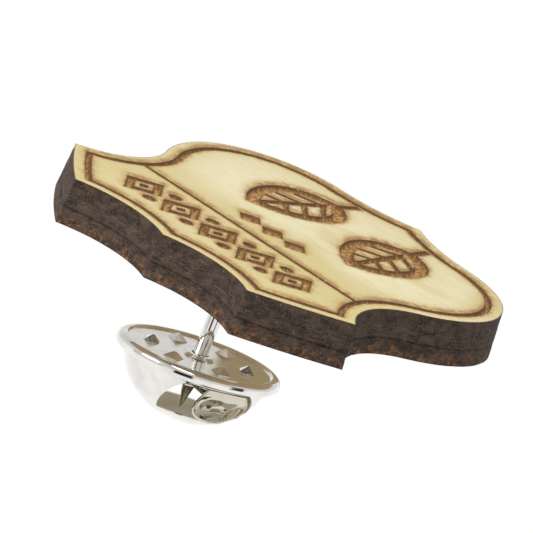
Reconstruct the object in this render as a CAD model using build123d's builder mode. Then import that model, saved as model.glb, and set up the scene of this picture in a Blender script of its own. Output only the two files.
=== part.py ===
"""A laser-cut plywood shield badge with a tie-tack post behind it and a butterfly clutch on the post.

Millimetres. The origin is on the post's axis, in the badge's back face. +Z is out of the engraved face,
+Y is towards the badge's scalloped top edge, and the clutch is below, on the -Z side.
"""
from build123d import *
import os
from math import cos, radians, sin, tan

os.makedirs("parts", exist_ok=True)

# Badge board: three plies and two glue lines, 1/8 inch in all
BOARD_THICKNESS = 3.2
GLUE_LINE = 0.06
OUTER_PLY = 1.14
KERF_TAPER_DEG = 4.0

# Laser engraving
ENGRAVED_DEPTH = 0.45
RIM_WIDTH = 0.85
GROOVE_WIDTH = 0.42
BAND_LINE_WIDTH = 0.3
BAND_LINE_Y = -0.2

# Shield outline, right half, from the middle of the top edge to the bottom point
TOP_CUSP = (0, 9.07)
TOP_SCALLOP = (4.4, 8.0)
EAR_TOP = (8.1, 9.28)
EAR_END = (10.78, 6.5)
EAR_BOTTOM = (13.24, 3.53)
WAIST = (11.1, -1.4)
HIP = (12.0, -4.8)
LOBE_SIDE = (13.3, -9.6)
LOBE_RADIUS = 7.35
POINT = (0, -18.64)

# Band of lozenges above the line
LOZENGE_COUNT = 5
LOZENGE_PITCH = 3.5
LOZENGE_WIDTH = 3.1
LOZENGE_HEIGHT = 4.2
LOZENGE_STROKE = 0.72
LOZENGE_CORE = 0.4
LOZENGE_CENTRE_Y = 3.2
DOT_RADIUS = 0.45
DOT_ROW_SPACING = 2.8

# Small row of diamonds under the line
DIAMOND_PITCH = 2.1
DIAMOND_RADIUS = 0.95
DIAMOND_ROW_Y = -2.65

# Pair of veined leaves in the lower field
LEAF_FOOT = (3.5, -14.0)
LEAF_LEAN_DEG = 8
LEAF_LENGTH = 8.8
LEAF_WIDTH = 5.6
LEAF_BELLY = 3.6
LEAF_STROKE = 0.95
MIDRIB_WIDTH = 0.5
STALK_LENGTH = 1.5
VEIN_WIDTH = 0.34
VEIN_ANGLE_DEG = 38
VEIN_START = 1.7
VEIN_PITCH = 1.75
VEIN_PAIRS = 3

# Tie-tack pad and post
ADHESIVE_THICKNESS = 0.1
PAD_RADIUS = 4.5
PAD_THICKNESS = 0.35
PAD_EDGE_ROUND = 0.12
POST_RADIUS = 0.5
POST_REACH = 9.7
POST_CONE_LENGTH = 1.75
POST_POINT_RADIUS = 0.06
POST_GROOVE_Z = -7.5
POST_GROOVE_WIDTH = 0.7
POST_GROOVE_DEPTH = 0.08

# Butterfly clutch, measured from the middle of its rolled rim
RIM_Z = -6.3
RIM_RADIUS = 5.72
RIM_TUBE_RADIUS = 0.45
SHEET = 0.25
BASE_RADIUS = 5.2
BASE_THICKNESS = 0.3
BASE_HOLE_RADIUS = 0.6
BASE_BOSS_RADIUS = 1.15
BASE_BOSS_HEIGHT = 0.18
BASE_BOSS_TAPER_DEG = 40
STUD_COUNT = 6
STUD_CIRCLE_RADIUS = 3.35
STUD_TURN_DEG = 5
STUD_SIDE = 1.05
STUD_TOP_SIDE = 0.15
STUD_HEIGHT = 0.42
DOME_MOUTH_RADIUS = 5.0
DOME_MOUTH_DEPTH = 0.5
DOME_WAIST = (3.82, -2.66)
DOME_SHOULDER = (1.72, -3.93)
DOME_DEPTH = 4.1
# How far the inner skin's waist and shoulder move in and up, as shares of the sheet's thickness
WAIST_INSET = (0.78, 0.62)
SHOULDER_INSET = (0.3, 0.95)
SHOULDER_SLOPE = (-0.95, -0.31)
ROLL_EDGE_INSET = 0.3
ROLL_SHOULDER_INSET = 0.16
ROLL_SHOULDER_DROP = 0.03
WINDOW_SILL = (2.65, -3.25)
WINDOW_SIDE = (3.12, -1.75)
WINDOW_HEAD = (2.3, -0.55)
WING_DIRECTION_DEG = 152
CLUTCH_ROCK_DEG = 5.5

# Clutch spring: a fixed web under the base and two winged blades that cross on the post
WEB_HALF_LENGTH = 3.6
STRIP_HALF_WIDTH = 1.1
STRIP = 0.2
WEB_HOLE_RADIUS = 0.75
LEG_CLEARANCE = 0.06
BLADE_TOPS = {"left_wing": -0.95, "right_wing": -1.35}
BLADE_END = -1.3
BLADE_SLOT_WIDTH = 1.16
BLADE_GRIP_CLEARANCE = 0.03
WING_TRAVEL = 0.6
SCOOP_INNER = 4.75
SCOOP_TOP = -0.62
SCOOP_RADIUS = 2.8
SCOOP_ARC_DEG = 45
SCOOP_HALF_WIDTH = 1.9
SCOOP_NECK_HALF_WIDTH = 1.3
SCOOP_BELLY = 0.6

BIG = 30


def shield_outline(grow=0):
    """The badge's outline as a sketch, moved outwards by grow."""
    with BuildSketch() as shield:
        with BuildLine():
            ThreePointArc(TOP_CUSP, TOP_SCALLOP, EAR_TOP)
            ThreePointArc(EAR_TOP, EAR_END, EAR_BOTTOM)
            waist = ThreePointArc(EAR_BOTTOM, WAIST, HIP)
            TangentArc(HIP, LOBE_SIDE, tangent=waist % 1)
            lobe_foot = (LOBE_SIDE[0] - LOBE_RADIUS, LOBE_SIDE[1] - LOBE_RADIUS)
            lobe_turn = LOBE_RADIUS * (1 - cos(radians(45)))
            lobe_corner = (LOBE_SIDE[0] - lobe_turn, lobe_foot[1] + lobe_turn)
            ThreePointArc(LOBE_SIDE, lobe_corner, lobe_foot)
            TangentArc(lobe_foot, POINT, tangent=(-1, 0))
            mirror(about=Plane.YZ)
        make_face()
        if grow:
            offset(amount=grow, kind=Kind.INTERSECTION, mode=Mode.REPLACE)
    return shield.sketch


def groove_ring():
    """The groove that follows the outline, inside a plain rim."""
    with BuildSketch() as ring:
        add(shield_outline(-RIM_WIDTH))
        add(shield_outline(-RIM_WIDTH - GROOVE_WIDTH), mode=Mode.SUBTRACT)
    return ring.sketch


def lozenge_band():
    """Five outlined lozenges, each with a small lozenge in its middle, and pairs of dots between them."""
    inner_scale = 1 - 2 * LOZENGE_STROKE / LOZENGE_WIDTH
    core_scale = inner_scale * LOZENGE_CORE
    with BuildSketch() as band:
        with Locations((0, LOZENGE_CENTRE_Y)):
            with GridLocations(LOZENGE_PITCH, 1, LOZENGE_COUNT, 1):
                for scale, mode in ((1, Mode.ADD), (inner_scale, Mode.SUBTRACT), (core_scale, Mode.ADD)):
                    half_width = LOZENGE_WIDTH / 2 * scale
                    half_height = LOZENGE_HEIGHT / 2 * scale
                    Polygon(
                        (half_width, 0),
                        (0, half_height),
                        (-half_width, 0),
                        (0, -half_height),
                        align=None,
                        mode=mode,
                    )
            with GridLocations(LOZENGE_PITCH, DOT_ROW_SPACING, LOZENGE_COUNT - 1, 2):
                Circle(DOT_RADIUS)
    return band.sketch


def leaf_outline(inset=0):
    """A pointed leaf that stands on the origin, moved inwards by inset."""
    belly = (LEAF_WIDTH / 2, LEAF_BELLY)
    with BuildSketch(mode=Mode.PRIVATE) as outline:
        with BuildLine():
            TangentArc(belly, (0, 0), tangent=(0, -1))
            TangentArc(belly, (0, LEAF_LENGTH), tangent=(0, 1))
            mirror(about=Plane.YZ)
        make_face()
        if inset:
            offset(amount=-inset, kind=Kind.INTERSECTION, mode=Mode.REPLACE)
    return outline.sketch


def veined_leaf():
    """An outlined leaf with a midrib, paired side veins and a stalk."""
    with BuildSketch(mode=Mode.PRIVATE) as ring:
        add(leaf_outline())
        add(leaf_outline(LEAF_STROKE), mode=Mode.SUBTRACT)
    with BuildSketch(mode=Mode.PRIVATE) as leaf:
        with Locations((0, LEAF_LENGTH / 2)):
            Rectangle(MIDRIB_WIDTH, LEAF_LENGTH)
        for row in range(VEIN_PAIRS):
            foot = VEIN_START + row * VEIN_PITCH
            with Locations(
                Location((0, foot), VEIN_ANGLE_DEG),
                Location((0, foot), 180 - VEIN_ANGLE_DEG),
            ):
                Rectangle(LEAF_WIDTH, VEIN_WIDTH, align=(Align.MIN, Align.CENTER))
        add(leaf_outline(), mode=Mode.INTERSECT)
        add(ring.sketch)
        with Locations((0, -STALK_LENGTH / 2)):
            Rectangle(MIDRIB_WIDTH, STALK_LENGTH + MIDRIB_WIDTH)
    return leaf.sketch


def leaf_pair():
    """Two veined leaves that lean apart, one each side of the middle."""
    with BuildSketch() as pair:
        for side in (-1, 1):
            with Locations(Location((side * LEAF_FOOT[0], LEAF_FOOT[1]), -side * LEAF_LEAN_DEG)):
                add(veined_leaf())
    return pair.sketch


def board_layer(bottom, top):
    """One layer of the board between two heights, with the cut edge's taper."""
    lean = tan(radians(KERF_TAPER_DEG))
    with BuildPart() as layer:
        with BuildSketch(Plane.XY.offset(top)):
            add(shield_outline((BOARD_THICKNESS - top) * lean))
        with BuildSketch(Plane.XY.offset(bottom)):
            add(shield_outline((BOARD_THICKNESS - bottom) * lean))
        loft()
    return layer.part


def save(part, name):
    part.label = name
    export_step(part, f"parts/{name}.step")


# Board layers, bottom to top
back_ply_top = OUTER_PLY
core_ply_bottom = OUTER_PLY + GLUE_LINE
core_ply_top = BOARD_THICKNESS - OUTER_PLY - GLUE_LINE
face_ply_bottom = BOARD_THICKNESS - OUTER_PLY

with BuildPart() as back_ply:
    add(board_layer(0, back_ply_top))
save(back_ply.part, "back_ply")

with BuildPart() as lower_glue_line:
    add(board_layer(back_ply_top, core_ply_bottom))
save(lower_glue_line.part, "lower_glue_line")

with BuildPart() as core_ply:
    add(board_layer(core_ply_bottom, core_ply_top))
save(core_ply.part, "core_ply")

with BuildPart() as upper_glue_line:
    add(board_layer(core_ply_top, face_ply_bottom))
save(upper_glue_line.part, "upper_glue_line")

# Face ply, with the engraving as shallow pockets
with BuildPart() as face_ply:
    add(board_layer(face_ply_bottom, BOARD_THICKNESS))
    with BuildSketch(Plane.XY.offset(BOARD_THICKNESS)):
        add(shield_outline(-RIM_WIDTH - GROOVE_WIDTH / 2))
        with Locations((0, BAND_LINE_Y)):
            Rectangle(BIG, BAND_LINE_WIDTH, mode=Mode.INTERSECT)
        add(groove_ring())
        add(lozenge_band())
        with Locations((0, DIAMOND_ROW_Y)):
            with GridLocations(DIAMOND_PITCH, 1, 3, 1):
                RegularPolygon(DIAMOND_RADIUS, 4)
        add(leaf_pair())
    extrude(amount=-ENGRAVED_DEPTH, mode=Mode.SUBTRACT)
save(face_ply.part, "face_ply")

# Tie-tack pad, glued behind the board
pad_top = -ADHESIVE_THICKNESS
pad_bottom = pad_top - PAD_THICKNESS

with BuildPart() as pad_adhesive:
    with BuildSketch():
        Circle(PAD_RADIUS)
    extrude(amount=-ADHESIVE_THICKNESS)
save(pad_adhesive.part, "pad_adhesive")

with BuildPart() as mounting_pad:
    with BuildSketch(Plane.XY.offset(pad_top)):
        Circle(PAD_RADIUS)
    extrude(amount=-PAD_THICKNESS)
    rim_edges = mounting_pad.edges().filter_by(GeomType.CIRCLE).sort_by(Axis.Z)[0]
    fillet(rim_edges, PAD_EDGE_ROUND)
    with BuildSketch(Plane.XY.offset(pad_top)):
        Circle(POST_RADIUS)
    extrude(amount=-PAD_THICKNESS, mode=Mode.SUBTRACT)
save(mounting_pad.part, "mounting_pad")

# Post: a straight shank through the pad, a grip groove and a long sharp point
with BuildPart() as post:
    with BuildSketch(Plane.XZ):
        with BuildLine():
            Polyline(
                (0, pad_top),
                (POST_RADIUS, pad_top),
                (POST_RADIUS, POST_GROOVE_Z + POST_GROOVE_WIDTH / 2),
                (POST_RADIUS - POST_GROOVE_DEPTH, POST_GROOVE_Z + POST_GROOVE_WIDTH / 4),
                (POST_RADIUS - POST_GROOVE_DEPTH, POST_GROOVE_Z - POST_GROOVE_WIDTH / 4),
                (POST_RADIUS, POST_GROOVE_Z - POST_GROOVE_WIDTH / 2),
                (POST_RADIUS, -POST_REACH + POST_CONE_LENGTH),
                (POST_POINT_RADIUS, -POST_REACH),
                (0, -POST_REACH),
                close=True,
            )
        make_face()
    revolve(axis=Axis.Z)
save(post.part, "post")

# The clutch hangs on the post with a little play, so it rests rocked towards one wing.
# Its own X runs along the wings, and its own Z is the dome's axis.
wing_turn = radians(WING_DIRECTION_DEG)
rock = radians(CLUTCH_ROCK_DEG)
clutch_plane = Plane(
    origin=(0, 0, RIM_Z),
    x_dir=(cos(wing_turn) * cos(rock), sin(wing_turn) * cos(rock), sin(rock)),
    z_dir=(-cos(wing_turn) * sin(rock), -sin(wing_turn) * sin(rock), cos(rock)),
)
clutch_axis = Axis(clutch_plane.origin, clutch_plane.z_dir)


def side_plane(side):
    """The upright plane through a wing, with its X towards that wing."""
    return Plane(clutch_plane.origin, x_dir=clutch_plane.x_dir * side, z_dir=clutch_plane.y_dir * -side)


def front_plane(side):
    """The upright plane across a wing, facing outwards."""
    return Plane(clutch_plane.origin, x_dir=clutch_plane.y_dir * side, z_dir=clutch_plane.x_dir * side)


# One pressed stud of the clutch base, a low four-sided pyramid
with BuildPart() as stud:
    with BuildSketch():
        Rectangle(STUD_SIDE, STUD_SIDE)
    with BuildSketch(Plane.XY.offset(STUD_HEIGHT)):
        Rectangle(STUD_TOP_SIDE, STUD_TOP_SIDE)
    loft()

# Clutch base: a disc with a raised hole rim and a ring of pressed studs
with BuildPart(clutch_plane) as clutch_base:
    with BuildSketch(clutch_plane):
        Circle(BASE_RADIUS)
    extrude(amount=BASE_THICKNESS)
    with BuildSketch(clutch_plane.offset(BASE_THICKNESS)):
        Circle(BASE_BOSS_RADIUS)
    extrude(amount=BASE_BOSS_HEIGHT, taper=BASE_BOSS_TAPER_DEG)
    with Locations((0, 0, BASE_THICKNESS)):
        with PolarLocations(STUD_CIRCLE_RADIUS, STUD_COUNT, start_angle=STUD_TURN_DEG):
            add(stud.part)
    with BuildSketch(clutch_plane):
        Circle(BASE_HOLE_RADIUS)
    extrude(amount=2 * BASE_THICKNESS, mode=Mode.SUBTRACT)
save(clutch_base.part, "clutch_base")


def dome_points(inset):
    """The dome's profile from its mouth to its bottom, moved inwards by inset."""
    return (
        (DOME_MOUTH_RADIUS - inset, -DOME_MOUTH_DEPTH),
        (DOME_WAIST[0] - WAIST_INSET[0] * inset, DOME_WAIST[1] + WAIST_INSET[1] * inset),
        (DOME_SHOULDER[0] - SHOULDER_INSET[0] * inset, DOME_SHOULDER[1] + SHOULDER_INSET[1] * inset),
        (0, -DOME_DEPTH + inset),
    )


# Clutch cap: a domed shell whose flange is rolled over the base disc's edge, with two windows
tube_centre = RIM_RADIUS - RIM_TUBE_RADIUS
roll_edge = tube_centre - ROLL_EDGE_INSET
roll_shoulder = (tube_centre - ROLL_SHOULDER_INSET, RIM_TUBE_RADIUS - ROLL_SHOULDER_DROP)

with BuildPart() as clutch_cap:
    with BuildSketch(side_plane(1)):
        with BuildLine():
            mouth, waist, shoulder, bottom = dome_points(0)
            inner_mouth, inner_waist, inner_shoulder, inner_bottom = dome_points(SHEET)
            ThreePointArc(mouth, waist, shoulder)
            Spline(shoulder, bottom, tangents=[SHOULDER_SLOPE, (-1, 0)])
            Line(bottom, inner_bottom)
            Spline(inner_bottom, inner_shoulder, tangents=[(1, 0), (-SHOULDER_SLOPE[0], -SHOULDER_SLOPE[1])])
            ThreePointArc(inner_shoulder, inner_waist, inner_mouth)
            Polyline(
                inner_mouth,
                (inner_mouth[0], 0),
                (BASE_RADIUS, 0),
                (BASE_RADIUS, BASE_THICKNESS),
                (roll_edge, BASE_THICKNESS),
            )
            ThreePointArc((roll_edge, BASE_THICKNESS), roll_shoulder, (tube_centre, RIM_TUBE_RADIUS))
            ThreePointArc(
                (tube_centre, RIM_TUBE_RADIUS),
                (RIM_RADIUS, 0),
                (tube_centre, -RIM_TUBE_RADIUS),
            )
            Line((tube_centre, -RIM_TUBE_RADIUS), mouth)
        make_face()
    revolve(axis=clutch_axis)
    with BuildSketch(front_plane(1)):
        with BuildLine():
            Line((0, WINDOW_SILL[1]), WINDOW_SILL)
            ThreePointArc(WINDOW_SILL, WINDOW_SIDE, WINDOW_HEAD)
            Line(WINDOW_HEAD, (0, WINDOW_HEAD[1]))
            mirror(about=Plane.YZ)
        make_face()
    extrude(amount=RIM_RADIUS, both=True, mode=Mode.SUBTRACT)
save(clutch_cap.part, "clutch_cap")

# Spring web: the middle of the spring strip, under the base, with a leg down to each blade
with BuildPart() as spring_web:
    with BuildSketch(clutch_plane):
        Rectangle(2 * WEB_HALF_LENGTH, 2 * STRIP_HALF_WIDTH)
        Circle(WEB_HOLE_RADIUS, mode=Mode.SUBTRACT)
    extrude(amount=-STRIP)
    for side, blade_top in zip((1, -1), BLADE_TOPS.values()):
        with BuildSketch(clutch_plane):
            with Locations((side * (WEB_HALF_LENGTH - STRIP / 2), 0)):
                Rectangle(STRIP, 2 * STRIP_HALF_WIDTH)
        extrude(amount=blade_top + LEG_CLEARANCE)
save(spring_web.part, "spring_web")


def wing(side, blade_top):
    """A spring wing: a slotted blade on the post and a curled scoop outside the window."""
    scoop_centre = SCOOP_INNER + SCOOP_RADIUS
    outer_radius = SCOOP_RADIUS + STRIP
    scoop_drop = outer_radius * sin(radians(SCOOP_ARC_DEG))
    lip_z = SCOOP_TOP - scoop_drop
    belly_z = SCOOP_TOP - SCOOP_BELLY * scoop_drop

    def on_scoop(radius, turn_deg):
        turn = radians(180 + turn_deg)
        return (scoop_centre + radius * cos(turn), SCOOP_TOP + radius * sin(turn))

    with BuildPart() as piece:
        with BuildSketch(side_plane(side)):
            with BuildLine():
                ThreePointArc(*(on_scoop(SCOOP_RADIUS, SCOOP_ARC_DEG * part) for part in (0, 0.5, 1)))
                Line(on_scoop(SCOOP_RADIUS, SCOOP_ARC_DEG), on_scoop(outer_radius, SCOOP_ARC_DEG))
                ThreePointArc(*(on_scoop(outer_radius, SCOOP_ARC_DEG * part) for part in (1, 0.5, 0)))
                Line(on_scoop(outer_radius, 0), on_scoop(SCOOP_RADIUS, 0))
            make_face()
        extrude(amount=SCOOP_HALF_WIDTH, both=True)
        with BuildSketch(front_plane(side)):
            with BuildLine():
                Line((0, SCOOP_TOP), (SCOOP_NECK_HALF_WIDTH, SCOOP_TOP))
                Spline(
                    (SCOOP_NECK_HALF_WIDTH, SCOOP_TOP),
                    (SCOOP_HALF_WIDTH, belly_z),
                    (0, lip_z),
                    tangents=[(0.7, -0.7), (-1, 0)],
                )
                mirror(about=Plane.YZ)
            make_face()
        extrude(amount=2 * RIM_RADIUS, mode=Mode.INTERSECT)
        blade_drop = SCOOP_TOP - blade_top + STRIP / 2
        blade_outer = scoop_centre - (SCOOP_RADIUS**2 - blade_drop**2) ** 0.5 - STRIP / 3
        slot_length = 2 * POST_RADIUS + WING_TRAVEL + 2 * BLADE_GRIP_CLEARANCE
        rock_shift = side * (blade_top - STRIP / 2) * sin(rock)
        blade_origin = clutch_plane.offset(blade_top).origin
        slot_start = rock_shift - POST_RADIUS - BLADE_GRIP_CLEARANCE
        with BuildSketch(Plane(blade_origin, x_dir=clutch_plane.x_dir * side, z_dir=clutch_plane.z_dir)):
            with Locations(((blade_outer + BLADE_END) / 2, 0)):
                Rectangle(blade_outer - BLADE_END, 2 * STRIP_HALF_WIDTH)
            with Locations((slot_start + slot_length / 2, 0)):
                SlotOverall(slot_length, BLADE_SLOT_WIDTH, mode=Mode.SUBTRACT)
        extrude(amount=-STRIP)
    return piece.part


with BuildPart() as left_wing:
    add(wing(1, BLADE_TOPS["left_wing"]))
save(left_wing.part, "left_wing")

with BuildPart() as right_wing:
    add(wing(-1, BLADE_TOPS["right_wing"]))
save(right_wing.part, "right_wing")
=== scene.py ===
import math

import bmesh
import bpy
import numpy as np
from mathutils import Matrix, Vector, kdtree, noise
from mathutils.geometry import delaunay_2d_cdt


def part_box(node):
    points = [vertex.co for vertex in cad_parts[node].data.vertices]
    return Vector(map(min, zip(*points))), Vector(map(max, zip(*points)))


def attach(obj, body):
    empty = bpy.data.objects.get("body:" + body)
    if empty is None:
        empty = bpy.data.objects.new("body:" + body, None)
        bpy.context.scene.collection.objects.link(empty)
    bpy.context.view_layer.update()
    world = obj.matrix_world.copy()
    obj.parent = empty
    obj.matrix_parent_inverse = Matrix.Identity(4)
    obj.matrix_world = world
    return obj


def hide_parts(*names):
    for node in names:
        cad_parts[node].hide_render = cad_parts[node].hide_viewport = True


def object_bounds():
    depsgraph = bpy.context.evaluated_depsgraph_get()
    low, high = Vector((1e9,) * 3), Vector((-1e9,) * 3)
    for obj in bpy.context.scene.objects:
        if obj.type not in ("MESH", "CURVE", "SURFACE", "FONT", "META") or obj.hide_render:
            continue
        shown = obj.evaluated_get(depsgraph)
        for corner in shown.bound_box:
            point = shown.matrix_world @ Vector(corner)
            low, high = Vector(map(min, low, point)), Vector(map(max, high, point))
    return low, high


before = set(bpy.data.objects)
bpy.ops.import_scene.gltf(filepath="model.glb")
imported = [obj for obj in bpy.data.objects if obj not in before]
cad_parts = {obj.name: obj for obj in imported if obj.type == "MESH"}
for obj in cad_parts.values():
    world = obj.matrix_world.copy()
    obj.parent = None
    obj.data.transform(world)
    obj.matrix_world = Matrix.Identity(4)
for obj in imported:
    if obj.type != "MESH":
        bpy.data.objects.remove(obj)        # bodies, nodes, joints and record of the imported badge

cad_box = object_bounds()
MM = 0.001

# Camera: a long lens, above and to one side of the badge's top edge, held a little rolled
CAMERA_DIRECTION = Vector((-0.5471, 0.7854, 0.2895)).normalized()
CAMERA_UP = Vector((0.4547, -0.0115, 0.8906))
CAMERA_AIM = Vector((-1.874, -0.734, 1.649)) * MM
CAMERA_DISTANCE = 1.3
FIELD_WIDTH = 35.37 * MM
SENSOR_WIDTH_MM = 36
# The floor lies far enough down for the clutch to slide off the post above it
FLOOR_DROP = 12 * MM
FLOOR_HALF = 3.0

# Board
KERF_TAPER = math.tan(math.radians(4))
WALL_STEP = 0.09 * MM
FACE_STEP = 0.115 * MM
BACK_STEP = 0.3 * MM
GROOVE_SOFTNESS = 0.17 * MM
POCKET_EDGE = 0.03 * MM
POCKET_EDGE_SINK = 0.02 * MM
ENGRAVING_SAMPLE_STEP = 0.04 * MM
GROOVE_SAMPLE_STEP = 0.1 * MM
DEEPEST_WEAR = 0.11 * MM
WEAR_AT_TOP = 0.2
WEAR_RUN_IN = 0.25 * MM
# How strong scorching, drifting smoke and the darker margin are, and how far they reach from a cut
SCORCH_REACH = 0.20 * MM
SMOKE_SHARE = 0.6
SMOKE_REACH = 0.38 * MM
SMOKE_DRIFT = Vector((0.33, -0.375)) * MM
WALL_REACH = 0.16 * MM
MARGIN_SHARE = 0.8
MARGIN_REACH = 1.1 * MM
BRINK_REACH = 0.09 * MM
BACK_SMOKE_REACH = 0.9 * MM
TOLERANCE = 1e-6
MITRE_LIMIT = 0.4
GRID_CLEARANCE = 0.55
POINTS_AT_ONCE = 2000
SEAM_HEIGHT_MM = 2.03
# Face birch tones: the mix towards the pale one also carries the painted sheen on the lower part of the
# face
WOOD_PALE = (0.62, 0.56, 0.36)
WOOD_DEEP = (0.50, 0.42, 0.185)

# Studio
HORIZON_WHITE = (0.80, 0.80, 0.79)
ZENITH_GREY = (0.50, 0.50, 0.50)

# Clutch, in millimetres as in the model: its own X runs along the wings, and its own Z is the dome's axis
RIM_Z = -6.3
WING_TURN = math.radians(152)
ROCK = math.radians(5.5)
DOME_MOUTH = (5.0, 0.5)
DOME_DEPTH = 4.1
STRIP = 0.2
STRIP_HALF_WIDTH = 1.1
BLADE_TOPS = {"left_wing": -0.95, "right_wing": -1.35}
BLADE_END = -1.3
BLADE_SLOT = (1.66, 1.16)
BLADE_CORNER = 0.25
BLADE_CORNER_STEPS = 5
SLOT_END_STEPS = 16
POST_RADIUS = 0.5
GRIP_CLEARANCE = 0.03
SCOOP_TOP = -0.62
SCOOP_RADIUS = 2.8
SCOOP_CENTRE = 4.75 + SCOOP_RADIUS
SCOOP_ARC = math.radians(47)
SCOOP_NECK = 1.4
SCOOP_BELLY = 1.85
SCOOP_SHOULDER = 0.42
SCOOP_TIP = math.radians(81)
SCOOP_DISH = 0.5
SCOOP_LIP = 0.9
SCOOP_DISH_START = 0.1
SCOOP_DISH_RUN = 0.4
SCOOP_FOLD = 0.05
SCOOP_FOLD_WAVES = 1.1
SCOOP_FOLD_OFFSET = 0.2
SCOOP_FOLD_MARGIN = 0.6
SCOOP_LEAN = (0.5, -0.35)
SCOOP_SLANT = 0.06
SCOOP_GRID = (48, 56)
SCOOP_RIM_ROUND = 0.05
BLADE_EDGE_ROUND = 0.03
ROUNDED_ANGLE_DEG = 50
SHARP_ANGLE_DEG = 40


# ---------------------------------------------------------------- camera, lights and floor

def look_from(direction, up_hint):
    """A rotation that looks along -direction with up_hint up."""
    back = direction.normalized()
    right = up_hint.cross(back).normalized()
    up = back.cross(right)
    return Matrix((right, up, back)).transposed()


def add_camera():
    data = bpy.data.cameras.new("camera")
    data.sensor_width = SENSOR_WIDTH_MM
    data.lens = SENSOR_WIDTH_MM * CAMERA_DISTANCE / FIELD_WIDTH
    data.clip_start = 0.01
    camera = bpy.data.objects.new("camera", data)
    turn = look_from(CAMERA_DIRECTION, CAMERA_UP).to_4x4()
    camera.matrix_world = Matrix.Translation(CAMERA_AIM + CAMERA_DIRECTION * CAMERA_DISTANCE) @ turn
    bpy.context.scene.collection.objects.link(camera)
    bpy.context.scene.camera = camera


def add_area(name, direction, distance, size, power):
    """A round soft light in a direction from the badge's middle."""
    data = bpy.data.lights.new(name, "AREA")
    data.shape = "DISK"
    data.size = size
    data.energy = power
    lamp = bpy.data.objects.new(name, data)
    direction = Vector(direction).normalized()
    turn = look_from(direction, Vector((0, 0, 1))).to_4x4()
    lamp.matrix_world = Matrix.Translation(CAMERA_AIM + direction * distance) @ turn
    bpy.context.scene.collection.objects.link(lamp)


def add_world():
    """A grey studio in reflections and as light. Seen straight, it is as white as the floor."""
    world = bpy.data.worlds.new("studio")
    world.use_nodes = True
    nodes, links = world.node_tree.nodes, world.node_tree.links
    background = nodes["Background"]
    height = nodes.new("ShaderNodeSeparateXYZ")
    links.new(nodes.new("ShaderNodeTexCoord").outputs["Generated"], height.inputs[0])
    fade = nodes.new("ShaderNodeValToRGB")
    fade.color_ramp.elements[0].color = (*HORIZON_WHITE, 1)
    fade.color_ramp.elements[1].color = (*ZENITH_GREY, 1)
    links.new(height.outputs["Z"], fade.inputs["Fac"])
    seen = nodes.new("ShaderNodeMix")
    seen.data_type = "RGBA"
    links.new(nodes.new("ShaderNodeLightPath").outputs["Is Camera Ray"], seen.inputs["Factor"])
    links.new(fade.outputs["Color"], seen.inputs["A"])
    seen.inputs["B"].default_value = (1, 1, 1, 1)
    links.new(seen.outputs["Result"], background.inputs["Color"])
    background.inputs["Strength"].default_value = 1.0
    bpy.context.scene.world = world


def plain_quad(name, centre, right, up):
    """A flat four-cornered sheet."""
    corners = [centre + right * x + up * y for x, y in ((-1, -1), (1, -1), (1, 1), (-1, 1))]
    mesh = bpy.data.meshes.new(name)
    mesh.from_pydata(corners, [], [(0, 1, 2, 3)])
    quad = bpy.data.objects.new(name, mesh)
    bpy.context.scene.collection.objects.link(quad)
    return quad


def glow_material(name, colour):
    """An even glow with no gloss of its own."""
    material, shader = new_material(name, (0, 0, 0), roughness=1.0)
    shader.inputs["Specular IOR Level"].default_value = 0
    shader.inputs["Emission Color"].default_value = (*colour, 1)
    shader.inputs["Emission Strength"].default_value = 1.0
    return material


def add_floor():
    centre = Vector((0, 0, cad_box[0][2] - FLOOR_DROP))
    floor = plain_quad("floor", centre, Vector((FLOOR_HALF, 0, 0)), Vector((0, FLOOR_HALF, 0)))
    floor.data.materials.append(glow_material("floor_white", (1, 1, 1)))


def add_card(name, turn_deg, lift_deg, distance, half_width, half_height, colour):
    """A card that only reflections see, round the clutch by turn_deg to the right of the camera."""
    azimuth = math.atan2(CAMERA_DIRECTION.y, CAMERA_DIRECTION.x) + math.radians(turn_deg)
    lift = math.radians(lift_deg)
    flat = math.cos(lift)
    direction = Vector((math.cos(azimuth) * flat, math.sin(azimuth) * flat, math.sin(lift)))
    turn = look_from(direction, Vector((0, 0, 1)))
    centre = Vector((0, 0, RIM_Z * MM)) + direction * distance
    card = plain_quad(name, centre, turn.col[0] * half_width, turn.col[1] * half_height)
    card.data.materials.append(glow_material(name, colour))
    card.visible_camera = False
    card.visible_shadow = False
    card.visible_diffuse = False


# ---------------------------------------------------------------- material building blocks

def new_material(name, colour, roughness=0.5, metallic=0.0):
    material = bpy.data.materials.new(name)
    material.use_nodes = True
    shader = material.node_tree.nodes["Principled BSDF"]
    shader.inputs["Base Color"].default_value = (*colour, 1)
    shader.inputs["Roughness"].default_value = roughness
    shader.inputs["Metallic"].default_value = metallic
    return material, shader


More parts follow.
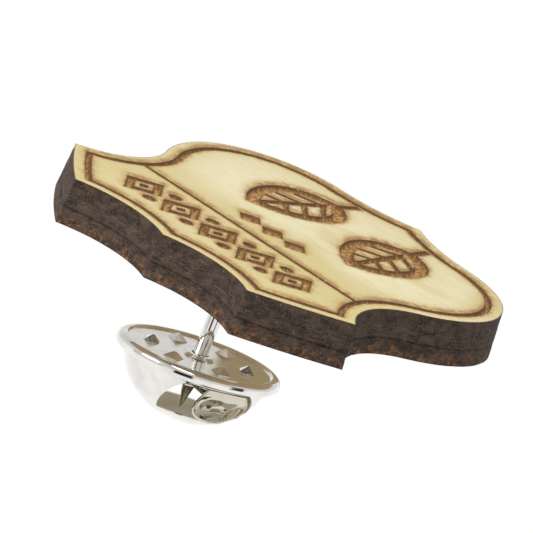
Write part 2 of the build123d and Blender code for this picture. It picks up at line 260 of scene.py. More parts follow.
class Graph:
    """Short calls for the nodes of one material."""

    def __init__(self, material):
        self.nodes = material.node_tree.nodes
        self.links = material.node_tree.links
        self.shader = self.nodes["Principled BSDF"]
        self.position = self.nodes.new("ShaderNodeTexCoord").outputs["Object"]

    def plug(self, socket, value):
        """Links an output into the socket, or sets a plain value on it."""
        if isinstance(value, bpy.types.NodeSocket):
            self.links.new(value, socket)
        elif isinstance(value, tuple) and len(value) == 3 and socket.type == "RGBA":
            socket.default_value = (*value, 1)
        else:
            socket.default_value = value

    def stretched(self, x, y, z):
        """The position in millimetres, scaled along each axis."""
        node = self.nodes.new("ShaderNodeMapping")
        self.plug(node.inputs["Vector"], self.position)
        node.inputs["Scale"].default_value = (x / MM, y / MM, z / MM)
        return node.outputs["Vector"]

    def noise(self, scale=(1, 1, 1), detail=4.0, rough=0.55, warp=0.0):
        node = self.nodes.new("ShaderNodeTexNoise")
        self.plug(node.inputs["Vector"], self.stretched(*scale))
        node.inputs["Scale"].default_value = 1.0
        node.inputs["Detail"].default_value = detail
        node.inputs["Roughness"].default_value = rough
        node.inputs["Distortion"].default_value = warp
        return node.outputs["Fac"]

    def cells(self, scale=(1, 1, 1)):
        """Distance to the nearest of scattered points."""
        node = self.nodes.new("ShaderNodeTexVoronoi")
        self.plug(node.inputs["Vector"], self.stretched(*scale))
        node.inputs["Scale"].default_value = 1.0
        return node.outputs["Distance"]

    def ramp(self, value, low, high, to_low=0.0, to_high=1.0):
        """A smooth step of value from low to high."""
        node = self.nodes.new("ShaderNodeMapRange")
        node.interpolation_type = "SMOOTHSTEP"
        self.plug(node.inputs["Value"], value)
        limits = (("From Min", low), ("From Max", high), ("To Min", to_low), ("To Max", to_high))
        for name, number in limits:
            self.plug(node.inputs[name], number)
        return node.outputs["Result"]

    def math(self, operation, a, b=0.0, clamp=False):
        node = self.nodes.new("ShaderNodeMath")
        node.operation = operation
        node.use_clamp = clamp
        self.plug(node.inputs[0], a)
        self.plug(node.inputs[1], b)
        return node.outputs[0]

    def mix(self, factor, a, b):
        node = self.nodes.new("ShaderNodeMix")
        node.data_type = "RGBA"
        self.plug(node.inputs["Factor"], factor)
        self.plug(node.inputs["A"], a)
        self.plug(node.inputs["B"], b)
        return node.outputs["Result"]

    def attribute(self, name):
        node = self.nodes.new("ShaderNodeAttribute")
        node.attribute_name = name
        return node.outputs["Fac"]

    def axis(self, name):
        """One coordinate of the position, in millimetres."""
        node = self.nodes.new("ShaderNodeSeparateXYZ")
        self.plug(node.inputs[0], self.position)
        return self.math("MULTIPLY", node.outputs[name], 1 / MM)

    def dome_share(self):
        """Under 0.9 inside the clutch's dome, and over it on the outer skin."""
        place = self.nodes.new("ShaderNodeMapping")
        place.vector_type = "TEXTURE"
        self.plug(place.inputs["Vector"], self.position)
        axes = clutch_frame(1)
        place.inputs["Location"].default_value = axes.translation
        place.inputs["Rotation"].default_value = axes.to_euler()
        place.inputs["Scale"].default_value = (MM, MM, MM)
        parts = self.nodes.new("ShaderNodeSeparateXYZ")
        self.plug(parts.inputs[0], place.outputs[0])
        x, y, z = parts.outputs
        across = self.math("ADD", self.math("POWER", x, 2), self.math("POWER", y, 2))
        down = self.math("POWER", self.math("ADD", z, DOME_MOUTH[1]), 2)
        return self.math(
            "ADD",
            self.math("MULTIPLY", across, 1 / DOME_MOUTH[0] ** 2),
            self.math("MULTIPLY", down, 1 / (DOME_DEPTH - DOME_MOUTH[1]) ** 2),
        )

    def bump(self, height, depth, strength=1.0):
        node = self.nodes.new("ShaderNodeBump")
        self.plug(node.inputs["Height"], height)
        node.inputs["Distance"].default_value = depth
        node.inputs["Strength"].default_value = strength
        return node.outputs["Normal"]

    def finish(self, colour=None, roughness=None, normal=None):
        for name, value in (("Base Color", colour), ("Roughness", roughness), ("Normal", normal)):
            if value is not None:
                self.plug(self.shader.inputs[name], value)


# ---------------------------------------------------------------- wood

def charred_material():
    """The laser-charred cut edge of the whole board: soot, embers of bare brown, ash streaks and grit."""
    material, shader = new_material("charred_edge", (0.03, 0.02, 0.015), roughness=0.75)
    shader.inputs["Specular IOR Level"].default_value = 0.22
    graph = Graph(material)
    soot = graph.noise((1.1, 1.1, 1.8), detail=6, rough=0.68)
    fine = graph.noise((9, 9, 11), detail=6, rough=0.78)
    colour = graph.mix(graph.ramp(soot, 0.42, 0.60), (0.013, 0.009, 0.007), (0.050, 0.033, 0.024))
    colour = graph.mix(graph.ramp(fine, 0.47, 0.70, 0.0, 0.8), colour, (0.130, 0.085, 0.058))
    height = graph.axis("Z")
    low = graph.ramp(height, 1.1, 0.0)
    ember = graph.noise((1.8, 1.8, 2.6), detail=7, rough=0.75, warp=0.5)
    rust = graph.math("MULTIPLY", graph.ramp(ember, 0.48, 0.66), graph.math("ADD", low, 0.12), clamp=True)
    colour = graph.mix(rust, colour, (0.24, 0.095, 0.026))
    streak = graph.noise((0.8, 0.8, 13.0), detail=5, rough=0.65, warp=0.4)
    core = graph.math("MULTIPLY", graph.ramp(height, 1.0, 1.35), graph.ramp(height, 2.25, 1.95))
    ash = graph.math("MULTIPLY", graph.ramp(streak, 0.5, 0.7), graph.math("MULTIPLY", core, 0.35))
    colour = graph.mix(ash, colour, (0.15, 0.118, 0.098))
    seam = graph.math("ABSOLUTE", graph.math("SUBTRACT", height, SEAM_HEIGHT_MM))
    broken = graph.noise((0.9, 0.9, 6.0), detail=5, rough=0.7)
    line = graph.math("MULTIPLY", graph.ramp(seam, 0.09, 0.02), graph.ramp(broken, 0.48, 0.62))
    colour = graph.mix(graph.math("MULTIPLY", line, 0.75), colour, (0.17, 0.13, 0.105))
    specks = graph.cells((5.0, 5.0, 5.0))
    chance = graph.noise((1.4, 1.4, 1.4), detail=3, rough=0.7)
    bright = graph.math("MULTIPLY", graph.ramp(specks, 0.16, 0.05), graph.ramp(chance, 0.49, 0.63))
    colour = graph.mix(bright, colour, (0.38, 0.31, 0.23))
    lumps = graph.math("ADD", graph.math("MULTIPLY", soot, 0.5), graph.math("MULTIPLY", fine, 0.6))
    rough = graph.ramp(fine, 0.3, 0.7, 0.6, 0.85)
    graph.finish(colour, rough, graph.bump(lumps, 0.10 * MM, 0.9))
    return material


def engraved_face_material():
    """Bare birch with a painted sheen that pales the lower part of the face, golden haze round the cuts and
    brown pockets.
    """
    material, shader = new_material("engraved_birch", (0.7, 0.6, 0.33), roughness=0.5)
    graph = Graph(material)
    clouds = graph.noise((0.13, 0.2, 0.2), detail=2)
    grain = graph.noise((0.6, 6.0, 1.0), detail=5, rough=0.62, warp=0.25)
    fibre = graph.noise((2.5, 20.0, 2.0), detail=3, rough=0.6)
    # Painted sheen: the face is made paler towards its lower part, as if lit more brightly there; the cloud
    # patches add random paler tone of the wood
    painted_sheen_field = graph.math("MULTIPLY", graph.ramp(graph.axis("Y"), -1.5, -7.0), graph.ramp(clouds, 0.25, 0.6))
    patches = graph.math("MULTIPLY", graph.ramp(clouds, 0.3, 0.7), 0.3)
    light = graph.math("ADD", patches, painted_sheen_field, clamp=True)
    colour = graph.mix(light, WOOD_DEEP, WOOD_PALE)
    colour = graph.mix(graph.attribute("margin"), colour, WOOD_DEEP)
    colour = graph.mix(graph.ramp(grain, 0.40, 0.72, 0.0, 0.42), colour, (0.44, 0.34, 0.145))
    colour = graph.mix(graph.ramp(fibre, 0.5, 0.8, 0.0, 0.15), colour, (0.76, 0.71, 0.50))
    dust = graph.noise((5, 5, 5), detail=4, rough=0.75)
    smoke = graph.noise((1.4, 1.4, 1.4), detail=5, rough=0.7)
    haze = graph.attribute("scorch")
    stain = graph.math("MULTIPLY", haze, graph.ramp(smoke, 0.3, 0.62, 0.4, 1.25))
    colour = graph.mix(graph.ramp(stain, 0.02, 0.5, 0.0, 0.8), colour, (0.45, 0.30, 0.095))
    colour = graph.mix(graph.ramp(stain, 0.25, 0.85, 0.0, 0.9), colour, (0.24, 0.115, 0.032))
    soot_dots = graph.math("MULTIPLY", graph.ramp(dust, 0.53, 0.66), graph.ramp(stain, 0.01, 0.3))
    colour = graph.mix(graph.math("MULTIPLY", soot_dots, 0.85), colour, (0.15, 0.070, 0.022))
    stray = graph.noise((7, 7, 7), detail=3, rough=0.6)
    colour = graph.mix(graph.ramp(stray, 0.64, 0.74, 0.0, 0.45), colour, (0.27, 0.16, 0.06))

    pocket = graph.attribute("pocket")
    wall = graph.attribute("pocket_wall")
    mottle = graph.noise((3.0, 3.0, 3.0), detail=6, rough=0.72)
    floor_colour = graph.mix(graph.ramp(mottle, 0.36, 0.66), (0.150, 0.070, 0.021), (0.54, 0.305, 0.098))
    floor_colour = graph.mix(graph.ramp(wall, 0.25, 0.95), floor_colour, (0.082, 0.036, 0.012))
    glint_cells = graph.cells((3.2, 3.2, 3.2))
    glint_chance = graph.noise((0.8, 0.8, 0.8), detail=2)
    glint = graph.math("MULTIPLY", graph.ramp(glint_cells, 0.14, 0.06), graph.ramp(glint_chance, 0.52, 0.6))
    floor_colour = graph.mix(glint, floor_colour, (0.75, 0.72, 0.62))
    ragged = graph.math("SUBTRACT", dust, 0.5)
    inside = graph.ramp(graph.math("ADD", pocket, graph.math("MULTIPLY", ragged, 0.7)), 0.35, 0.65)
    colour = graph.mix(inside, colour, floor_colour)
    brink = graph.math("ADD", graph.attribute("brink"), graph.math("MULTIPLY", ragged, 0.8))
    colour = graph.mix(graph.ramp(brink, 0.42, 0.9), colour, (0.26, 0.125, 0.038))
    relief = graph.math("MULTIPLY", graph.math("ADD", grain, fibre), 0.25)
    pitted = graph.math("MULTIPLY", graph.math("MULTIPLY", mottle, pocket), 1.3)
    normal = graph.bump(graph.math("ADD", relief, pitted), 0.06 * MM, 0.7)
    graph.finish(colour, graph.ramp(pocket, 0.3, 0.7, 0.48, 0.8), normal)
    shader.inputs["Specular IOR Level"].default_value = 0.35
    return material


def plain_ply_material(name, bare, darker):
    """Bare birch veneer with smoke stains along the cut."""
    material, shader = new_material(name, bare, roughness=0.6)
    graph = Graph(material)
    grain = graph.noise((0.5, 7.0, 1.0), detail=5, rough=0.6, warp=0.3)
    colour = graph.mix(graph.ramp(grain, 0.35, 0.75), bare, darker)
    smoke = graph.noise((1.2, 1.2, 1.2), detail=5, rough=0.7)
    stain = graph.math("SUBTRACT", graph.attribute("scorch"), graph.math("MULTIPLY", smoke, 0.5))
    colour = graph.mix(graph.ramp(stain, -0.1, 0.6, 0.0, 0.9), colour, (0.17, 0.085, 0.032))
    normal = graph.bump(grain, 0.05 * MM, 0.4)
    graph.finish(colour, graph.ramp(grain, 0.3, 0.7, 0.5, 0.7), normal)
    shader.inputs["Specular IOR Level"].default_value = 0.3
    return material


def glue_material():
    """A thin glue line: lighter ash caught in char."""
    material, shader = new_material("wood_glue", (0.2, 0.13, 0.08), roughness=0.6)
    graph = Graph(material)
    breaks = graph.noise((1.3, 1.3, 1.3), detail=5, rough=0.7)
    colour = graph.mix(graph.ramp(breaks, 0.45, 0.62), (0.030, 0.022, 0.018), (0.15, 0.11, 0.085))
    grit = graph.noise((11, 11, 11), detail=3)
    graph.finish(colour, graph.ramp(grit, 0.3, 0.7, 0.5, 0.75), graph.bump(grit, 0.03 * MM, 0.6))
    return material


# ---------------------------------------------------------------- metal and adhesive

def nickel_material(name, colour, rough_low, rough_high, peel=0.006, inner=None):
    """Bright nickel plate with a faint orange peel and fine rubbing marks.

    inner is the duller colour of the inside of the clutch's dome."""
    material, shader = new_material(name, colour, roughness=rough_low, metallic=1.0)
    graph = Graph(material)
    ripple = graph.noise((0.8, 0.8, 0.8), detail=2)
    rub = graph.noise((9, 2, 9), detail=4, rough=0.6)
    stain = graph.noise((0.5, 0.5, 0.5), detail=4)
    dim = tuple(c * 0.86 for c in colour)
    tint = graph.mix(graph.ramp(stain, 0.4, 0.7), colour, dim)
    rough = graph.ramp(rub, 0.3, 0.75, rough_low, rough_high)
    if inner:
        hollow = graph.ramp(graph.dome_share(), 0.925, 0.895)
        tint = graph.mix(hollow, tint, inner)
        rough = graph.math("ADD", rough, graph.math("MULTIPLY", hollow, 0.3))
    graph.finish(tint, rough, graph.bump(ripple, peel * MM, 1.0))
    return material


def adhesive_material():
    material, shader = new_material("clear_adhesive", (0.6, 0.58, 0.5), roughness=0.3)
    graph = Graph(material)
    cloud = graph.noise((1.5, 1.5, 1.5), detail=4)
    colour = graph.mix(graph.ramp(cloud, 0.35, 0.65), (0.60, 0.57, 0.47), (0.70, 0.68, 0.61))
    graph.finish(colour, graph.ramp(cloud, 0.3, 0.7, 0.25, 0.4), graph.bump(cloud, 0.02 * MM, 0.6))
    return material


# ---------------------------------------------------------------- mesh helpers

def flat_loops(node, height):
    """The closed outlines of a CAD node's flat faces at one height, as lists of (x, y)."""
    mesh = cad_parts[node].data
    onward, places = {}, {}
    for polygon in mesh.polygons:
        corners = [mesh.vertices[i].co for i in polygon.vertices]
        if any(abs(c.z - height) > TOLERANCE for c in corners):
            continue
        keys = [(round(c.x / TOLERANCE), round(c.y / TOLERANCE)) for c in corners]
        places.update(zip(keys, ((c.x, c.y) for c in corners)))
        for a, b in zip(keys, keys[1:] + keys[:1]):
            if (b, a) in onward:
                del onward[(b, a)]
            else:
                onward[(a, b)] = True
    following = dict(onward.keys())
    loops = []
    while following:
        start, here = next(iter(following.items()))
        del following[start]
        loop = [places[start]]
        while here != start:
            loop.append(places[here])
            here = following.pop(here)
        loops.append(loop)
    return sorted(loops, key=lambda loop: -abs(loop_area(loop)))


def loop_area(loop):
    points = np.array(loop)
    x, y = points.T
    return 0.5 * float(np.sum(x * np.roll(y, -1) - np.roll(x, -1) * y))


def divided(loop, step):
    """The loop with its long segments divided."""
    points = []
    for a, b in zip(loop, loop[1:] + loop[:1]):
        a, b = np.array(a), np.array(b)
        parts = max(1, math.ceil(float(np.linalg.norm(b - a)) / step))
        points += [tuple(a + (b - a) * part / parts) for part in range(parts)]
    return points


def crossings(points, loops):
    """How many of the loops each point lies inside."""
    inside = np.zeros(len(points), int)
    for loop in loops:
        a = np.array(loop)
        b = np.roll(a, -1, axis=0)
        for start in range(0, len(points), POINTS_AT_ONCE):
            x, y = (points[start:start + POINTS_AT_ONCE, axis, None] for axis in (0, 1))
            spans = (a[:, 1] > y) != (b[:, 1] > y)
            rise = np.where(b[:, 1] == a[:, 1], 1, b[:, 1] - a[:, 1])
            reach = a[:, 0] + (b[:, 0] - a[:, 0]) * (y - a[:, 1]) / rise
            inside[start:start + POINTS_AT_ONCE] += (spans & (x < reach)).sum(axis=1) % 2
    return inside


def nearest(points, targets):
    """Each point's distance to the nearest target."""
    tree = kdtree.KDTree(len(targets))
    for i, (x, y) in enumerate(targets):
        tree.insert((x, y, 0), i)
    tree.balance()
    return np.array([tree.find((x, y, 0))[2] for x, y in points])


def triangulated(outline, loops, step, border=None):
    """Points and triangles that fill the outline and keep every loop as edges.

    border is the same outline with fewer points, for the tests of what is inside."""
    border = border or outline
    chains = [outline, *loops]
    points, edges = [], []
    for chain in chains:
        first = len(points)
        points += chain
        edges += [(first + i, first + (i + 1) % len(chain)) for i in range(len(chain))]
    if step:
        low, high = np.min(outline, axis=0), np.max(outline, axis=0)
        rows = np.arange(low[1], high[1], step * math.sqrt(3) / 2)
        columns = np.arange(low[0], high[0], step)
        grid = np.array([(x + step / 2 * (j % 2), y) for j, y in enumerate(rows) for x in columns])
        grid = grid[crossings(grid, [border]) == 1]
        clear = nearest(grid, points) > GRID_CLEARANCE * step
        points += [tuple(p) for p in grid[clear]]
    found = delaunay_2d_cdt([Vector(p) for p in points], edges, [], 0, 1e-9)
    corners = np.array([tuple(v) for v in found[0]])
    triangles = np.array(found[2])
    centres = corners[triangles].mean(axis=1)
    kept = triangles[crossings(centres, [border]) == 1]
    return corners, kept


def outward(outline):
    """Unit normals of the outline, lengthened at corners so that an offset keeps its sides parallel."""
    points = np.array(outline)
    ahead = np.roll(points, -1, axis=0) - points
    ahead /= np.linalg.norm(ahead, axis=1, keepdims=True)
    normals = np.stack((ahead[:, 1], -ahead[:, 0]), axis=1)
    both = normals + np.roll(normals, 1, axis=0)
    both /= np.linalg.norm(both, axis=1, keepdims=True)
    return both / np.clip((both * normals).sum(axis=1), MITRE_LIMIT, 1)[:, None]


def erosion(x, y, z):
    """How far the charred cut has worn in at a place, in metres: striations and pits."""
    place = Vector((x, y, z)) / MM
    stripes = noise.noise(Vector((place.x * 4.5, place.y * 4.5, place.z * 0.8)))
    lumps = noise.noise(place * 1.7 + Vector((9, 4, 2)))
    pits = noise.noise(place * 7.0)
    worn = 0.35 * abs(stripes) + 0.45 * max(0.0, lumps) + 0.35 * max(0.0, pits - 0.1)
    return DEEPEST_WEAR * worn


def mesh_piece(name, points, faces, materials, attributes=(), pick=None):
    """A smooth mesh. pick gives each face's place in the list of materials."""
    mesh = bpy.data.meshes.new(name)
    mesh.from_pydata([tuple(p) for p in points], [], [tuple(int(i) for i in f) for f in faces])
    for key, values in attributes:
        attribute = mesh.attributes.new(key, "FLOAT", "POINT")
        attribute.data.foreach_set("value", np.asarray(values, np.float32))
    mesh.polygons.foreach_set("use_smooth", [True] * len(mesh.polygons))
    mesh.update()
    piece = bpy.data.objects.new(name, mesh)
    for material in materials:
        piece.data.materials.append(material)
    if pick is not None:
        mesh.polygons.foreach_set("material_index", np.asarray(pick, np.int32))
    bpy.context.scene.collection.objects.link(piece)
    return piece


# ---------------------------------------------------------------- the board's layers

board_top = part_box("face_ply")[1].z
face_loops = flat_loops("face_ply", board_top)
coarse_shield, *engraving = face_loops
if loop_area(coarse_shield) < 0:
    coarse_shield.reverse()
shield = divided(coarse_shield, WALL_STEP)
shield_normals = outward(shield)


def shield_at(height, outline=shield):
    """The cut outline at a height, with its taper."""
    return np.array(outline) + outward(outline) * (board_top - height) * KERF_TAPER


def wall_rows(bottom, top):
    """Heights of the rows of points on a layer's cut edge, from top to bottom."""
    count = max(1, round((top - bottom) / WALL_STEP))
    return np.linspace(top, bottom, count + 1)


def layer_piece(name, material, step, surface=None):
    """A board layer: its upper face, an eroded cut edge and its lower face.

    surface gives the upper face's extra loops and a function for its points' heights and attributes."""
    low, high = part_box(name)
    outline = [tuple(p) for p in shield_at(high.z)]
    border = [tuple(p) for p in shield_at(high.z, coarse_shield)]
    corners, upper = triangulated(outline, surface["loops"] if surface else [], step, border)
    count = len(outline)
    heights, values = np.full(len(corners), high.z), {}
    if surface:
        heights, values = surface["shape"](corners, high.z)
    points = [(*p, z) for p, z in zip(corners, heights)]

    walls = []
    inward = shield_normals / np.linalg.norm(shield_normals, axis=1, keepdims=True)
    previous = list(range(count))
    for height in wall_rows(low.z, high.z):
        ring = shield_at(height)
        fade = min(1.0, WEAR_AT_TOP + (board_top - height) / WEAR_RUN_IN)
        worn = np.array([erosion(x, y, height) for x, y in ring]) * fade
        ring = ring - inward * worn[:, None]
        if height == high.z:
            points[:count] = [(x, y, z) for (x, y), (_, _, z) in zip(ring, points)]
            continue
        current = list(range(len(points), len(points) + count))
        points += [(x, y, height) for x, y in ring]
        for i in range(count):
            j = (i + 1) % count
            walls.append((previous[i], current[i], current[j], previous[j]))
        previous = current

    border = [tuple(p) for p in shield_at(low.z, coarse_shield)]
    below, lower = triangulated([p[:2] for p in points[-count:]], [], None if surface else step, border)
    start = len(points) - count
    points += [(*p, low.z) for p in below[count:]]
    under = [[start + i for i in reversed(face)] for face in lower]
    if not surface:
        values["scorch"] = np.exp(-nearest([p[:2] for p in points], outline) / BACK_SMOKE_REACH)
    attributes = [(key, np.append(v, np.zeros(len(points) - len(v)))) for key, v in values.items()]
    faces = [*upper, *walls, *under]
    pick = [0] * len(upper) + [1] * len(walls) + [0] * len(under)
    piece = mesh_piece(name + "_wood", points, faces, [material, charred], attributes, pick)
    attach(piece, "badge")
    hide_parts(name)
    return piece


face_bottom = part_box("face_ply")[0].z
face_heights = [v.co.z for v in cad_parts["face_ply"].data.vertices]
engraving_depth = board_top - min(z for z in face_heights if z > face_bottom + TOLERANCE)
engraving_samples = [p for loop in engraving for p in divided(loop, ENGRAVING_SAMPLE_STEP)]


def engraved_surface(corners, top):
    """Heights of the engraved face's points, and how scorched each one is."""
    inside = crossings(corners, engraving) % 2 == 1
    gap = nearest(corners, engraving_samples)
    on_edge = gap < POCKET_EDGE
    inside &= ~on_edge
    blend = np.clip(gap / GROOVE_SOFTNESS, 0, 1)
    blend = blend * blend * (3 - 2 * blend)
    rough = np.array([noise.noise(Vector((x, y, 0)) / MM * 3.2) for x, y in corners])
    pits = np.array([noise.noise(Vector((x, y, 5 * MM)) / MM * 8.0) for x, y in corners])
    depth = engraving_depth * blend * (0.86 + 0.10 * rough + 0.10 * pits)
    heights = np.where(inside, top - np.minimum(depth, engraving_depth), top)
    heights[on_edge] = top - POCKET_EDGE_SINK

    drifted = corners - np.array(SMOKE_DRIFT)
    drift_gap = nearest(drifted, engraving_samples)
    drift_gap[crossings(drifted, engraving) % 2 == 1] = 0
    near = np.exp(-gap / SCORCH_REACH)
    smoke = SMOKE_SHARE * np.exp(-drift_gap / SMOKE_REACH)
    scorch = np.clip(np.maximum(near, smoke), 0, 1)
    pocket = np.where(inside, 1.0, np.where(on_edge, 0.75, 0.0))
    wall = np.where(inside | on_edge, np.exp(-gap / WALL_REACH), 0)
    edge_gap = nearest(corners, shield)
    groove = [p for loop in engraving[:2] for p in divided(loop, GROOVE_SAMPLE_STEP)]
    groove_gap = nearest(corners, groove)
    margin = MARGIN_SHARE * np.exp(-groove_gap / MARGIN_REACH)
    brink = np.exp(-edge_gap / BRINK_REACH)
    values = {"scorch": scorch, "pocket": pocket, "pocket_wall": wall, "margin": margin, "brink": brink}
    return heights, values


charred = charred_material()


def add_board():
    face = layer_piece(
        "face_ply",
        engraved_face_material(),
        FACE_STEP,
        {"loops": [divided(loop, FACE_STEP * 0.8) for loop in engraving], "shape": engraved_surface},
    )
    glue = glue_material()
    core = plain_ply_material("core_birch", (0.50, 0.36, 0.20), (0.38, 0.25, 0.12))
    # The back veneer is a darker copy of the birch: painted shade, standing in for the board's shaded
    # underside
    back = plain_ply_material("back_birch", (0.40, 0.29, 0.165), (0.32, 0.22, 0.115))
    for name, material, step, slot in (
        ("upper_glue_line", glue, None, "wood_glue"),
        ("core_ply", core, None, "core_birch"),
        ("lower_glue_line", glue, None, "wood_glue"),
        ("back_ply", back, BACK_STEP, "back_birch"),
    ):
        layer_piece(name, material, step)


# ---------------------------------------------------------------- spring wings

def clutch_frame(side):
    """The clutch's own axes in the badge's frame, with X out along one wing, scaled to metres."""
    wing_x, wing_y = math.cos(WING_TURN), math.sin(WING_TURN)
    axis = Vector((-wing_x * math.sin(ROCK), -wing_y * math.sin(ROCK), math.cos(ROCK)))
    out = Vector((wing_x * math.cos(ROCK), wing_y * math.cos(ROCK), math.sin(ROCK)))
    out *= side
    turn = Matrix((out, axis.cross(out), axis)).transposed()
    return Matrix.Translation((0, 0, RIM_Z * MM)) @ (turn * MM).to_4x4()


def smooth(value):
    """A smooth step from 0 to 1."""
    value = min(1.0, max(0.0, value))
    return value * value * (3 - 2 * value)


def scoop_outline(part):
    """How far along the scoop a row lies, and half its width: a swelling neck, then a round end."""
    if part < SCOOP_SHOULDER:
        width = SCOOP_NECK + (SCOOP_BELLY - SCOOP_NECK) * math.sin(math.pi / 2 * part / SCOOP_SHOULDER)
        return part, width
    turn = SCOOP_TIP * (part - SCOOP_SHOULDER) / (1 - SCOOP_SHOULDER)
    along = SCOOP_SHOULDER + (1 - SCOOP_SHOULDER) * math.sin(turn) / math.sin(SCOOP_TIP)
    return along, SCOOP_BELLY * math.cos(turn)


def scoop_point(across, part):
    """A point of the dished scoop: across runs from -1 to 1, and part from 0, the neck, to 1, the lip."""
    along, half = scoop_outline(part)
    aside = across * half
    turn = SCOOP_ARC * along * (1 - SCOOP_SLANT * aside)
    out, down = SCOOP_RADIUS * math.cos(turn), SCOOP_RADIUS * math.sin(turn)
    reach = Vector((SCOOP_CENTRE - out, 0, SCOOP_TOP - down))
    inwards = Vector((-math.cos(turn), 0, -math.sin(turn)))
    from_side = (1 - abs(across)) * half + 1e-3
    from_end = (1 - along) * SCOOP_ARC * SCOOP_RADIUS + 1e-3
    from_edge = (from_side ** -3 + from_end ** -3) ** (-1 / 3)
    wave = math.cos(2 * SCOOP_FOLD_WAVES * math.pi * (across + SCOOP_FOLD_OFFSET))
    fold = SCOOP_FOLD * wave * smooth(from_edge / SCOOP_FOLD_MARGIN)
    sunk = SCOOP_DISH * smooth(from_edge / SCOOP_LIP) + fold
    dish = sunk * smooth((along - SCOOP_DISH_START) / SCOOP_DISH_RUN)
    sideways = SCOOP_LEAN[0] + (SCOOP_LEAN[1] - SCOOP_LEAN[0]) * smooth(along) + aside
    return reach + inwards * dish + Vector((0, sideways, 0))


def sheet_grid(columns, rows, place):
    """A grid of points from place(across, along), and its faces."""
    points = [place(2 * i / columns - 1, j / rows) for j in range(rows + 1) for i in range(columns + 1)]
    width = columns + 1
    faces = [
        (j * width + i, j * width + i + 1, (j + 1) * width + i + 1, (j + 1) * width + i)
        for j in range(rows)
        for i in range(columns)
    ]
    return points, faces


def blade_plate(top, outer, shift):
    """A flat slotted blade: its two faces and all its edges."""
    half, length, width = STRIP_HALF_WIDTH, *BLADE_SLOT
    corner = BLADE_CORNER
    outline = []
    places = ((BLADE_END, -half, 180), (outer, -half, 270), (outer, half, 0), (BLADE_END, half, 90))
    for x, y, start in places:
        centre = (x + corner * (1 if x == BLADE_END else -1), y + corner * (1 if y < 0 else -1))
        for k in range(BLADE_CORNER_STEPS + 1):
            turn = math.radians(start + 90 * k / BLADE_CORNER_STEPS)
            outline.append((centre[0] + corner * math.cos(turn), centre[1] + corner * math.sin(turn)))
    slot_start = shift - POST_RADIUS - GRIP_CLEARANCE
    slot = []
    for x, start in ((slot_start + length - width / 2, -90), (slot_start + width / 2, 90)):
        for k in range(SLOT_END_STEPS + 1):
            turn = math.radians(start + 180 * k / SLOT_END_STEPS)
            slot.append((x + width / 2 * math.cos(turn), width / 2 * math.sin(turn)))
    corners, triangles = triangulated(outline, [slot], None)
    keep = crossings(corners[triangles].mean(axis=1), [slot]) == 0
    triangles = triangles[keep]
    count = len(corners)
    points = [(*p, top) for p in corners] + [(*p, top - STRIP) for p in corners]
    faces = [tuple(f) for f in triangles] + [tuple(count + i for i in reversed(f)) for f in triangles]
    rims = ((0, len(outline), 1), (len(outline), len(slot), -1))
    for first, size, sense in rims:
        for i in range(size):
            a, b = first + i, first + (i + 1) % size
            faces.append((b, a, a + count, b + count)[::sense])
    return points, faces


def add_wing(node, side, material):
    """A wing of the clutch spring: a dished scoop outside the window and a slotted blade on the post."""
    place = clutch_frame(side)
    top = BLADE_TOPS[node]
    points, faces = sheet_grid(*SCOOP_GRID, scoop_point)
    scoop = mesh_piece(node + "_spring", [place @ p for p in points], faces, [material])
    thicken = scoop.modifiers.new("thickness", "SOLIDIFY")
    thicken.thickness = STRIP * MM
    thicken.offset = -1
    round_edges(scoop, SCOOP_RIM_ROUND, 3)

    shift = side * (top - STRIP / 2) * math.sin(ROCK)
    drop = SCOOP_TOP - top + STRIP / 2
    outer = SCOOP_CENTRE - math.sqrt(SCOOP_RADIUS ** 2 - drop ** 2) - STRIP / 3
    points, faces = blade_plate(top, outer, shift)
    blade = mesh_piece(node + "_blade", [place @ Vector(p) for p in points], faces, [material])
    round_edges(blade, BLADE_EDGE_ROUND, 2)
    join(scoop, blade)
    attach(scoop, node)
    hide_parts(node)


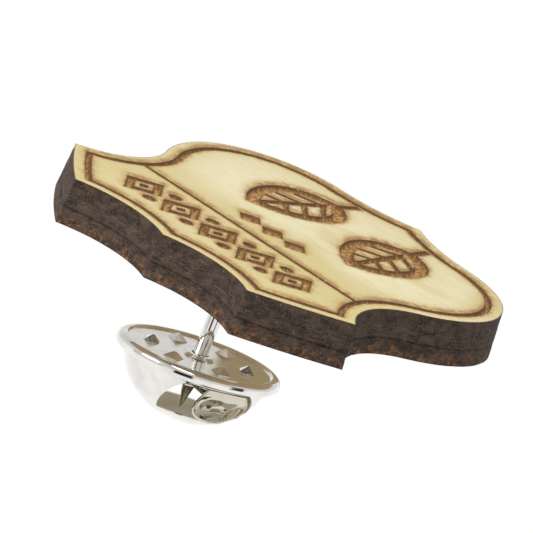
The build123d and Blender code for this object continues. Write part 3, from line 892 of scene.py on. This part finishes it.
def round_edges(piece, width, segments):
    """Rounds the piece's sharp edges, after its other modifiers, and keeps the result as its mesh."""
    soften = piece.modifiers.new("rounded_edges", "BEVEL")
    soften.width = width * MM
    soften.segments = segments
    soften.limit_method = "ANGLE"
    soften.angle_limit = math.radians(ROUNDED_ANGLE_DEG)
    graph = bpy.context.evaluated_depsgraph_get()
    mesh = bpy.data.meshes.new_from_object(piece.evaluated_get(graph))
    piece.modifiers.clear()
    piece.data = mesh


def join(piece, other):
    """Moves the other piece's mesh into the first piece."""
    merged = bmesh.new()
    merged.from_mesh(piece.data)
    merged.from_mesh(other.data)
    merged.to_mesh(piece.data)
    merged.free()
    bpy.data.objects.remove(other)
    piece.data.set_sharp_from_angle(angle=math.radians(SHARP_ANGLE_DEG))


# ---------------------------------------------------------------- pad, post, clutch and adhesive

def dress(node, material):
    """Gives a CAD node its material."""
    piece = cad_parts[node]
    for slot in piece.material_slots:
        slot.material = material


def add_fittings():
    """The CAD nodes that stay get their materials, and the two wings their detailed shapes."""
    dress("mounting_pad", nickel_material("plated_pad", (0.74, 0.72, 0.68), 0.16, 0.3))
    dress("post", nickel_material("plated_post", (0.86, 0.85, 0.82), 0.05, 0.1, peel=0.002))
    dress("clutch_base", nickel_material("nickel_base", (0.82, 0.80, 0.75), 0.13, 0.22))
    cap = nickel_material("nickel_cap", (0.86, 0.84, 0.80), 0.07, 0.14, inner=(0.66, 0.60, 0.48))
    dress("clutch_cap", cap)
    # The spring nickel is darker and browner than the cap: partly the spring steel's own duller tone,
    # partly painted reflection of the dark room the wings face
    spring = nickel_material("nickel_spring", (0.68, 0.64, 0.55), 0.08, 0.16)
    dress("spring_web", spring)
    add_wing("left_wing", 1, spring)
    add_wing("right_wing", -1, spring)
    dress("pad_adhesive", adhesive_material())


add_camera()
add_world()
add_floor()
add_card("dark_card", -10, -10, 0.030, 0.0065, 0.012, (0.03, 0.022, 0.018))
add_card("wing_card", 64, -4, 0.040, 0.0055, 0.016, (0.05, 0.04, 0.03))
add_card("beige_card", -192, 5, 0.026, 0.0048, 0.012, (0.34, 0.27, 0.155))
add_card("grey_card", -65, -5, 0.060, 0.030, 0.020, (0.60, 0.60, 0.58))
add_area("key", CAMERA_DIRECTION + Vector((0.3, -0.2, 1.2)), 0.25, 0.2, 0.6)
add_area("left_fill", CAMERA_DIRECTION + Vector((1.6, 1.0, 0.1)), 0.15, 0.08, 0.12)
add_board()
add_fittings()

scene = bpy.context.scene
scene.view_settings.view_transform = "Standard"
